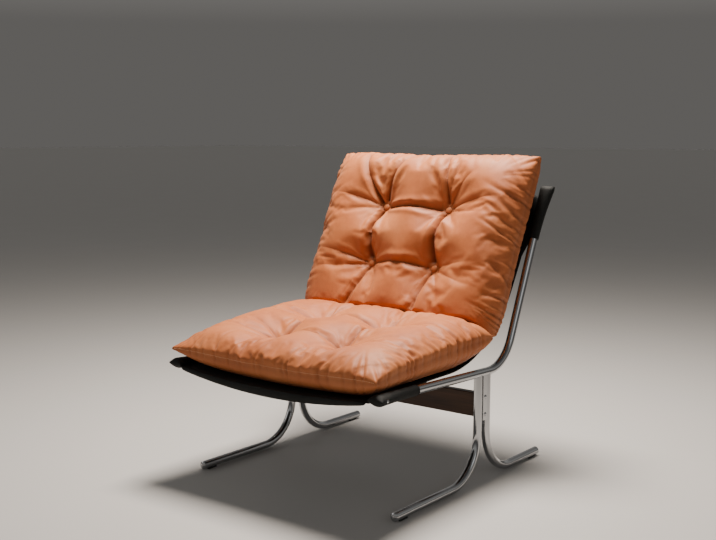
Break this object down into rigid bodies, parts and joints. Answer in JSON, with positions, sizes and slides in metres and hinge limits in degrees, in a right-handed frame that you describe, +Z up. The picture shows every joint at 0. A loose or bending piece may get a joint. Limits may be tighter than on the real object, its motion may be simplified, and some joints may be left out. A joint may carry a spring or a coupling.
{
  "type": "tubular sling lounge chair",
  "caption": "Armless lounge chair: bent chrome tube frame with a black sling between its rails, and loose button-tufted leather seat and back cushions that lift off.",
  "frame": {"origin": "on the floor under the middle of the chair", "axes": "+Z up, -Y towards the front of the seat, +X to the right as seen from the front"},
  "size_m": [0.698, 0.8124, 0.8487],
  "materials": {
    "chrome": "mirror polished plating",
    "stretcher_wood": "dark satin stain",
    "plain_steel": "turned",
    "black_plastic": "matte",
    "sling_cloth": "heavy black weave",
    "tan_leather": "soft semi-matte, fine grain",
    "fibre_filling": "loose fibre fill",
    "tuft_cord": "twisted cord"
  },
  "bodies": {
    "frame": {"right_side_rail": "chrome", "left_side_rail": "chrome", "right_front_leg": "chrome", "left_front_leg": "chrome", "right_rear_leg": "chrome", "left_rear_leg": "chrome", "right_post_web": "chrome", "left_post_web": "chrome", "pocket_screws": "chrome", "stretcher": "stretcher_wood", "stretcher_bolts": "chrome", "stretcher_barrel_nuts": "plain_steel", "foot_end_caps": "chrome", "rail_end_plugs": "black_plastic", "floor_glides": "black_plastic", "right_front_pocket": "sling_cloth", "left_front_pocket": "sling_cloth", "right_top_pocket": "sling_cloth", "left_top_pocket": "sling_cloth", "sling_panel": "sling_cloth", "sling_front_hem": "sling_cloth", "sling_top_hem": "sling_cloth"},
    "seat_cushion": {"seat_cushion_cover": "tan_leather", "seat_cushion_filling": "fibre_filling", "seat_buttons": "tan_leather", "seat_tuft_cords": "tuft_cord", "seat_tuft_anchors": "black_plastic"},
    "back_cushion": {"back_cushion_cover": "tan_leather", "back_cushion_filling": "fibre_filling", "back_buttons": "tan_leather", "back_tuft_cords": "tuft_cord", "back_tuft_anchors": "black_plastic"}
  },
  "joints": [
    {"name": "seat_lift", "type": "slide", "parent": "frame", "child": "seat_cushion", "axis": [0, -0.7071, 0.7071], "range_m": [0, 0.3]},
    {"name": "back_lift", "type": "slide", "parent": "frame", "child": "back_cushion", "axis": [0, 0, 1], "range_m": [0, 0.3]}
  ]
}
